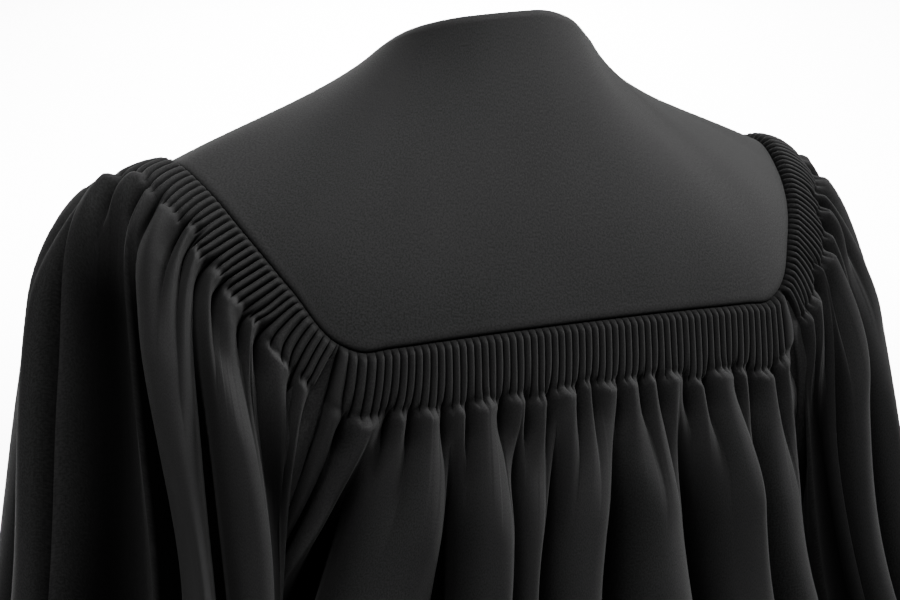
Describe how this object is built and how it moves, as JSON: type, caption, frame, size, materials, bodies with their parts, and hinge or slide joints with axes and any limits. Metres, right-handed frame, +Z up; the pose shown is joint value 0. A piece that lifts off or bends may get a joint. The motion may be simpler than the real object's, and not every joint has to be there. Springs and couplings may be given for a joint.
{
  "type": "graduation gown",
  "caption": "Worn graduation gown with a smooth yoke, fluted back, fronts and sleeves, open cuffs and a front zip.",
  "frame": {"origin": "base of the neck, in the middle of the neck opening, where the gown is held", "axes": "+Z up along the gown, +Y towards the back, +X towards the wearer's left"},
  "size_m": [0.9298, 0.5874, 1.3165],
  "materials": {
    "cloth": "matte black woven polyester",
    "zip_metal": "dark enamel"
  },
  "bodies": {
    "gown": {"back_panel": "cloth", "front_left": "cloth", "front_right": "cloth", "sleeve_left": "cloth", "sleeve_right": "cloth", "yoke_back": "cloth", "yoke_front_left": "cloth", "yoke_front_right": "cloth", "zip_tape": "cloth", "zip_slider": "zip_metal"},
    "pull": {"zip_pull": "zip_metal"}
  },
  "joints": [
    {"name": "pull_hinge", "type": "hinge", "parent": "gown", "child": "pull", "pos_m": [0, -0.07749, -0.09496], "axis": [-1, 0, 0], "range_deg": [0, 170]}
  ]
}
